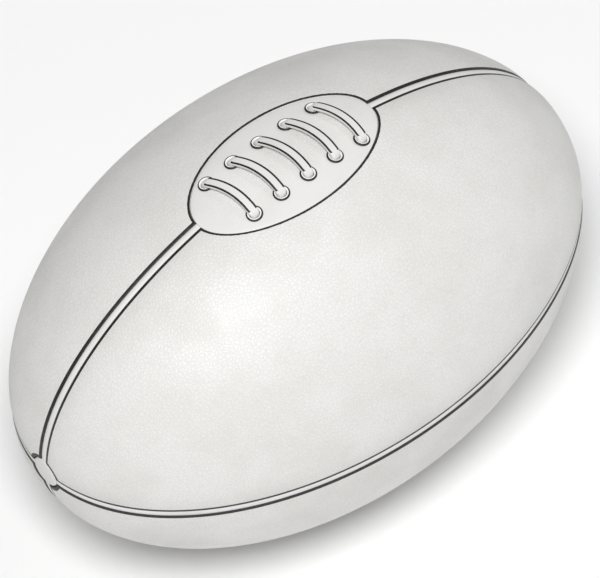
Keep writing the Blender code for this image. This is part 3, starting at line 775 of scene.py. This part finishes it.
def lace_section(gather):
    """Points round the lace, with two more on its upper side where the painted edges end."""
    half_width = between(LACE_WIDTH, LACE_GATHERED[0], gather) / 2
    half = between(LACE_THICKNESS, LACE_GATHERED[1], gather) / 2
    corner = between(LACE_CORNER, half * GATHERED_ROUNDNESS, gather)
    section = []
    for quarter, (side, level) in enumerate(((1, 1), (-1, 1), (-1, -1), (1, -1))):
        for turn in range(CORNER_POINTS):
            angle = math.pi / 2 * (quarter + turn / (CORNER_POINTS - 1))
            section.append((side * (half_width - corner) + corner * math.cos(angle),
                            level * (half - corner) + corner * math.sin(angle)))
        if quarter == 0:
            inner = half_width - corner - LACE_PAINT
            section += [(inner, half), (-inner, half)]
    return section


def lace_ring(i):
    """The lace's section, set square to its route at one of the route's points."""
    x, across, depth, heading, gather = lace_route[i]
    forward = (lace_points[min(i + 1, len(lace_points) - 1)] - lace_points[max(i - 1, 0)]).normalized()
    side = Vector((math.sin(heading), -math.cos(heading)))
    if side.x < 0:
        side = -side
    wide = on_patch(x + side.x * SIDE_REACH, across + side.y * SIDE_REACH, depth) - lace_points[i]
    wide = (wide - forward * wide.dot(forward)).normalized()
    thick = forward.cross(wide)
    return [lace_points[i] + wide * a + thick * b for a, b in lace_section(gather)]


lace_rings = [lace_ring(i) for i in range(len(lace_route))]
columns = len(lace_rings) - 1
ring_size = len(lace_rings[0])
half_corner = CORNER_POINTS // 2
near_edge = range(half_corner, CORNER_POINTS)
far_edge = range(CORNER_POINTS + 1, 2 * CORNER_POINTS + 1 - half_corner)
lace = laid_grid("lace_thong", columns, ring_size, lambda column, row: lace_rings[column][row % ring_size])
lace.data.materials.append(welt_leather)
lace.data.materials.append(edge_paint)
for face in lace.data.polygons:
    row, column = divmod(face.index, columns)
    gather = max(lace_route[column][-1], lace_route[column + 1][-1])
    if (row in near_edge or row in far_edge) and gather < PAINT_STOPS_AT_GATHER:
        face.material_index = 1
closed_up(lace)
smoothed(lace, degrees=50)
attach(lace, "ball")
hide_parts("lace")

# Valve housing: a moulded rubber collar through the wall of the upper back panel, glued to the bladder,
# with a sunk seat for its plug. Its flange lies under the leather, and a short tube goes on inside.

VALVE_SINK = 0.0008
STEM_RADIUS = 0.0052
SEAT_RADIUS = 0.0040
SEAT_FLOOR = -0.0023
SHANK_HOLE = 0.0024
COLLAR_ROUNDING = 0.0004
COLLAR_TURNS = 4
COLLAR_FLANGE_RADIUS = 0.0120
COLLAR_FLANGE_ROOT = -0.0058
COLLAR_FLANGE_TOP = -0.0069
COLLAR_FLANGE_BOTTOM = -0.0083
TUBE_RADIUS = 0.0040
TUBE_END = -0.0150
RUBBER_BLACK = (0.030, 0.030, 0.031)
RUBBER_DUST = (0.060, 0.059, 0.057)

valve_rubber, shader = new_finish("moulded_black_rubber", RUBBER_BLACK, roughness=0.5)
dust = spread(valve_rubber, noise_on(valve_rubber, scale=350.0, detail=6.0), low=0.45, high=0.75)
link(valve_rubber, color_between(valve_rubber, dust, RUBBER_BLACK, RUBBER_DUST), shader, "Base Color")
sheen = spread(valve_rubber, dust, low=0.0, high=1.0, to_low=0.42, to_high=0.65)
link(valve_rubber, sheen, shader, "Roughness")
bump(valve_rubber, shader, noise_on(valve_rubber, scale=2400.0, detail=3.0), strength=0.15, depth=0.0001)

collar_edge = rounding(COLLAR_ROUNDING, COLLAR_TURNS)
collar_profile = [(SHANK_HOLE, TUBE_END), (SHANK_HOLE, SEAT_FLOOR), (SEAT_RADIUS, SEAT_FLOOR)]
collar_profile += [(SEAT_RADIUS + drop, -VALVE_SINK - inset) for inset, drop in collar_edge]
collar_profile += [(STEM_RADIUS - inset, -VALVE_SINK - drop) for inset, drop in collar_edge]
collar_profile += [(STEM_RADIUS, COLLAR_FLANGE_ROOT), (COLLAR_FLANGE_RADIUS, COLLAR_FLANGE_TOP),
                   (COLLAR_FLANGE_RADIUS, COLLAR_FLANGE_BOTTOM), (TUBE_RADIUS, COLLAR_FLANGE_BOTTOM),
                   (TUBE_RADIUS, TUBE_END)]
collar = turned_piece("valve_collar", collar_profile, VALVE_STEPS, valve_rubber)
set_up(collar, valve_seat, valve_axis)
smoothed(collar, degrees=40)
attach(collar, "ball")
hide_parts("valve_housing")

# Valve plug: a rubber stopper with a flat head and a grip dimple, pushed into the collar. It pulls straight
# out along the valve's axis.

HEAD_RADIUS = 0.0037
HEAD_TOP = -0.0008
HEAD_BOTTOM = -0.0020
HEAD_ROUNDING = 0.0003
HEAD_TURNS = 4
GRIP_RADIUS = 0.0016
GRIP_FLOOR = -0.0014
GRIP_FLOOR_RADIUS = 0.0012
GRIP_CHAMFER = 0.0002
SHANK_RADIUS = 0.0021
SHANK_TIP = -0.0135
SHANK_TIP_RADIUS = 0.00126
SHANK_TAPER = 0.0017

plug_profile = [(0.0, GRIP_FLOOR), (GRIP_FLOOR_RADIUS, GRIP_FLOOR), (GRIP_RADIUS, GRIP_FLOOR + GRIP_CHAMFER),
                (GRIP_RADIUS, HEAD_TOP - GRIP_CHAMFER), (GRIP_RADIUS + GRIP_CHAMFER, HEAD_TOP)]
for inset, drop in rounding(HEAD_ROUNDING, HEAD_TURNS):
    plug_profile.append((HEAD_RADIUS - inset, HEAD_TOP - drop))
plug_profile += [(HEAD_RADIUS, HEAD_BOTTOM), (SHANK_RADIUS, HEAD_BOTTOM),
                 (SHANK_RADIUS, SHANK_TIP + SHANK_TAPER), (SHANK_TIP_RADIUS, SHANK_TIP), (0.0, SHANK_TIP)]
plug = turned_piece("valve_stopper", plug_profile, VALVE_STEPS, valve_rubber)
set_up(plug, valve_seat, valve_axis)
smoothed(plug, degrees=40)
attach(plug, "plug")
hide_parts("valve_plug")

# Floor: a wide sheet of pale matt board that the ball lies on, very faintly clouded so that it isn't one
# flat tone.

FLOOR_SIZE = 12.0
FLOOR_WHITE = (0.92, 0.92, 0.92)
FLOOR_SHADE = (0.90, 0.90, 0.90)

floor_board, shader = new_finish("pale_board", FLOOR_WHITE, roughness=0.85)
clouds = noise_on(floor_board, scale=3.0, detail=3.0)
link(floor_board, color_between(floor_board, clouds, FLOOR_WHITE, FLOOR_SHADE), shader, "Base Color")
bpy.ops.object.select_all(action='DESELECT')
bpy.ops.mesh.primitive_plane_add(size=FLOOR_SIZE)
floor = bpy.context.object
floor.name = "floor"
floor.data.materials.append(floor_board)

# Light: a large soft lamp above the camera, a weaker one from the other side and an even pale room. The
# ball's rim shades off against the floor nearly all round.

ROOM_WHITE = (1.0, 1.0, 1.0)
ROOM_LIGHT = 0.22
LAMPS = {
    "key": ((-1.6, -2.05, 4.95), 2.0, 272.0),
    "fill": ((3.0, -1.0, 3.4), 2.0, 25.0),
}

room = bpy.data.worlds.new("room")
bpy.context.scene.world = room
room.use_nodes = True
room.node_tree.nodes["Background"].inputs["Color"].default_value = (*ROOM_WHITE, 1.0)
room.node_tree.nodes["Background"].inputs["Strength"].default_value = ROOM_LIGHT
ball_middle = Vector((0, 0, BALL_CENTRE))
for name, (place, size, power) in LAMPS.items():
    bpy.ops.object.light_add(type='AREA', location=place)
    lamp = bpy.context.object
    lamp.name = name + "_lamp"
    lamp.data.shape = 'DISK'
    lamp.data.size = size
    lamp.data.energy = power
    lamp.rotation_euler = (ball_middle - Vector(place)).to_track_quat('-Z', 'Y').to_euler()
bpy.context.scene.view_settings.view_transform = 'Standard'

# Camera: a long lens from above and to the front left, at the drawing's angle and turned a little on its
# own axis, with the ball's centre just left of and below the middle.

AZIMUTH = math.radians(-35.14)
ELEVATION = math.radians(52.10)
ROLL = math.radians(-6.31)
DISTANCE = 2.85
PIXELS_PER_RADIUS = 216.83
CENTRE_PIXEL = (298.48, 292.07)
FRAME_PIXELS = (600, 578)
SENSOR_WIDTH = 36.0

back = Vector((math.sin(AZIMUTH) * math.cos(ELEVATION), -math.cos(AZIMUTH) * math.cos(ELEVATION),
               math.sin(ELEVATION)))
level = Vector((math.cos(AZIMUTH), math.sin(AZIMUTH), 0))
upright = back.cross(level)
right = level * math.cos(ROLL) + upright * math.sin(ROLL)
up = upright * math.cos(ROLL) - level * math.sin(ROLL)
metres_per_pixel = RADIUS / PIXELS_PER_RADIUS
bpy.ops.object.camera_add()
camera = bpy.context.object
camera.name = "camera"
camera.data.sensor_width = SENSOR_WIDTH
camera.data.lens = DISTANCE / metres_per_pixel * SENSOR_WIDTH / FRAME_PIXELS[0]
eye = ball_middle + back * DISTANCE
eye += right * (FRAME_PIXELS[0] / 2 - CENTRE_PIXEL[0]) * metres_per_pixel
eye += up * (CENTRE_PIXEL[1] - FRAME_PIXELS[1] / 2) * metres_per_pixel
camera.matrix_world = Matrix.Translation(eye) @ Matrix((right, up, back)).transposed().to_4x4()
bpy.context.scene.camera = camera
